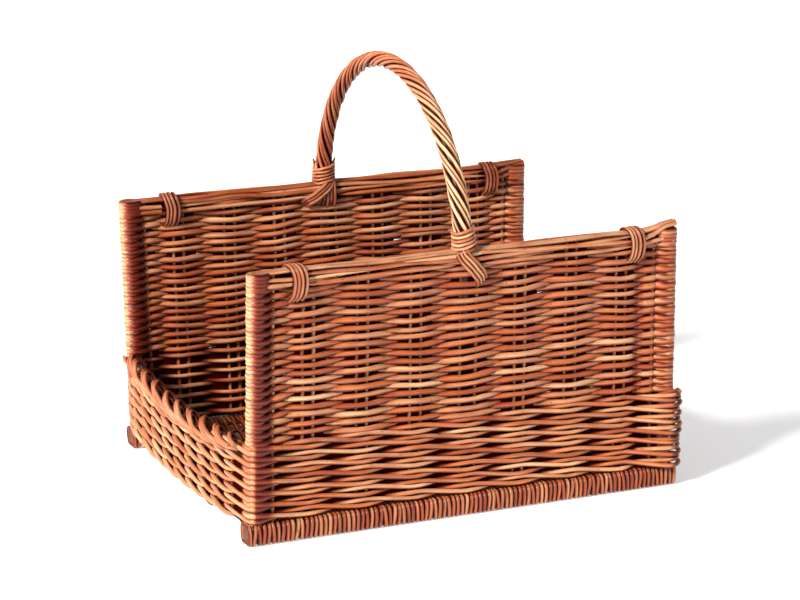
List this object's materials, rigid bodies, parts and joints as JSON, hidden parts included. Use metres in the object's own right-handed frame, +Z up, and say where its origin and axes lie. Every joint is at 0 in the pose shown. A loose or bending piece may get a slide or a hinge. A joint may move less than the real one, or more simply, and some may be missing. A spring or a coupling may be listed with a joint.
{
  "type": "log basket",
  "caption": "Woven willow log basket with tall front and back panels, open ends above a low tray, two foot rails and a roped bow handle.",
  "frame": {"origin": "on the ground under the middle of the basket", "axes": "+Z up, X along the basket from open end to open end, -Y towards the front panel"},
  "size_m": [0.529, 0.3928, 0.4708],
  "materials": {
    "willow_weave": "satin",
    "willow_stake": "satin",
    "willow_wrapping": "satin",
    "willow_rim": "satin",
    "willow_handle": "satin"
  },
  "bodies": {
    "root": {"back_foot_stick": "willow_stake", "back_foot_wrapping": "willow_wrapping", "back_left_post": "willow_stake", "back_left_post_wrapping": "willow_wrapping", "back_left_rim_binding": "willow_rim", "back_panel_weave": "willow_weave", "back_right_post": "willow_stake", "back_right_post_wrapping": "willow_wrapping", "back_right_rim_binding": "willow_rim", "back_rim_rods": "willow_rim", "back_stakes": "willow_stake", "back_tray_weave": "willow_weave", "base_stick_1": "willow_stake", "base_stick_2": "willow_stake", "base_stick_3": "willow_stake", "base_stick_4": "willow_stake", "base_stick_5": "willow_stake", "base_stick_6": "willow_stake", "base_stick_7": "willow_stake", "base_stick_8": "willow_stake", "base_stick_9": "willow_stake", "base_weave": "willow_weave", "front_foot_stick": "willow_stake", "front_foot_wrapping": "willow_wrapping", "front_left_post": "willow_stake", "front_left_post_wrapping": "willow_wrapping", "front_left_rim_binding": "willow_rim", "front_panel_weave": "willow_weave", "front_right_post": "willow_stake", "front_right_post_wrapping": "willow_wrapping", "front_right_rim_binding": "willow_rim", "front_rim_rods": "willow_rim", "front_stakes": "willow_stake", "front_tray_weave": "willow_weave", "handle_back_collar": "willow_handle", "handle_back_tails": "willow_handle", "handle_bow": "willow_handle", "handle_front_collar": "willow_handle", "handle_front_tails": "willow_handle", "handle_roping": "willow_handle", "left_end_border": "willow_rim", "left_end_stakes": "willow_stake", "left_wall_weave": "willow_weave", "right_end_border": "willow_rim", "right_end_stakes": "willow_stake", "right_wall_weave": "willow_weave"}
  },
  "joints": []
}
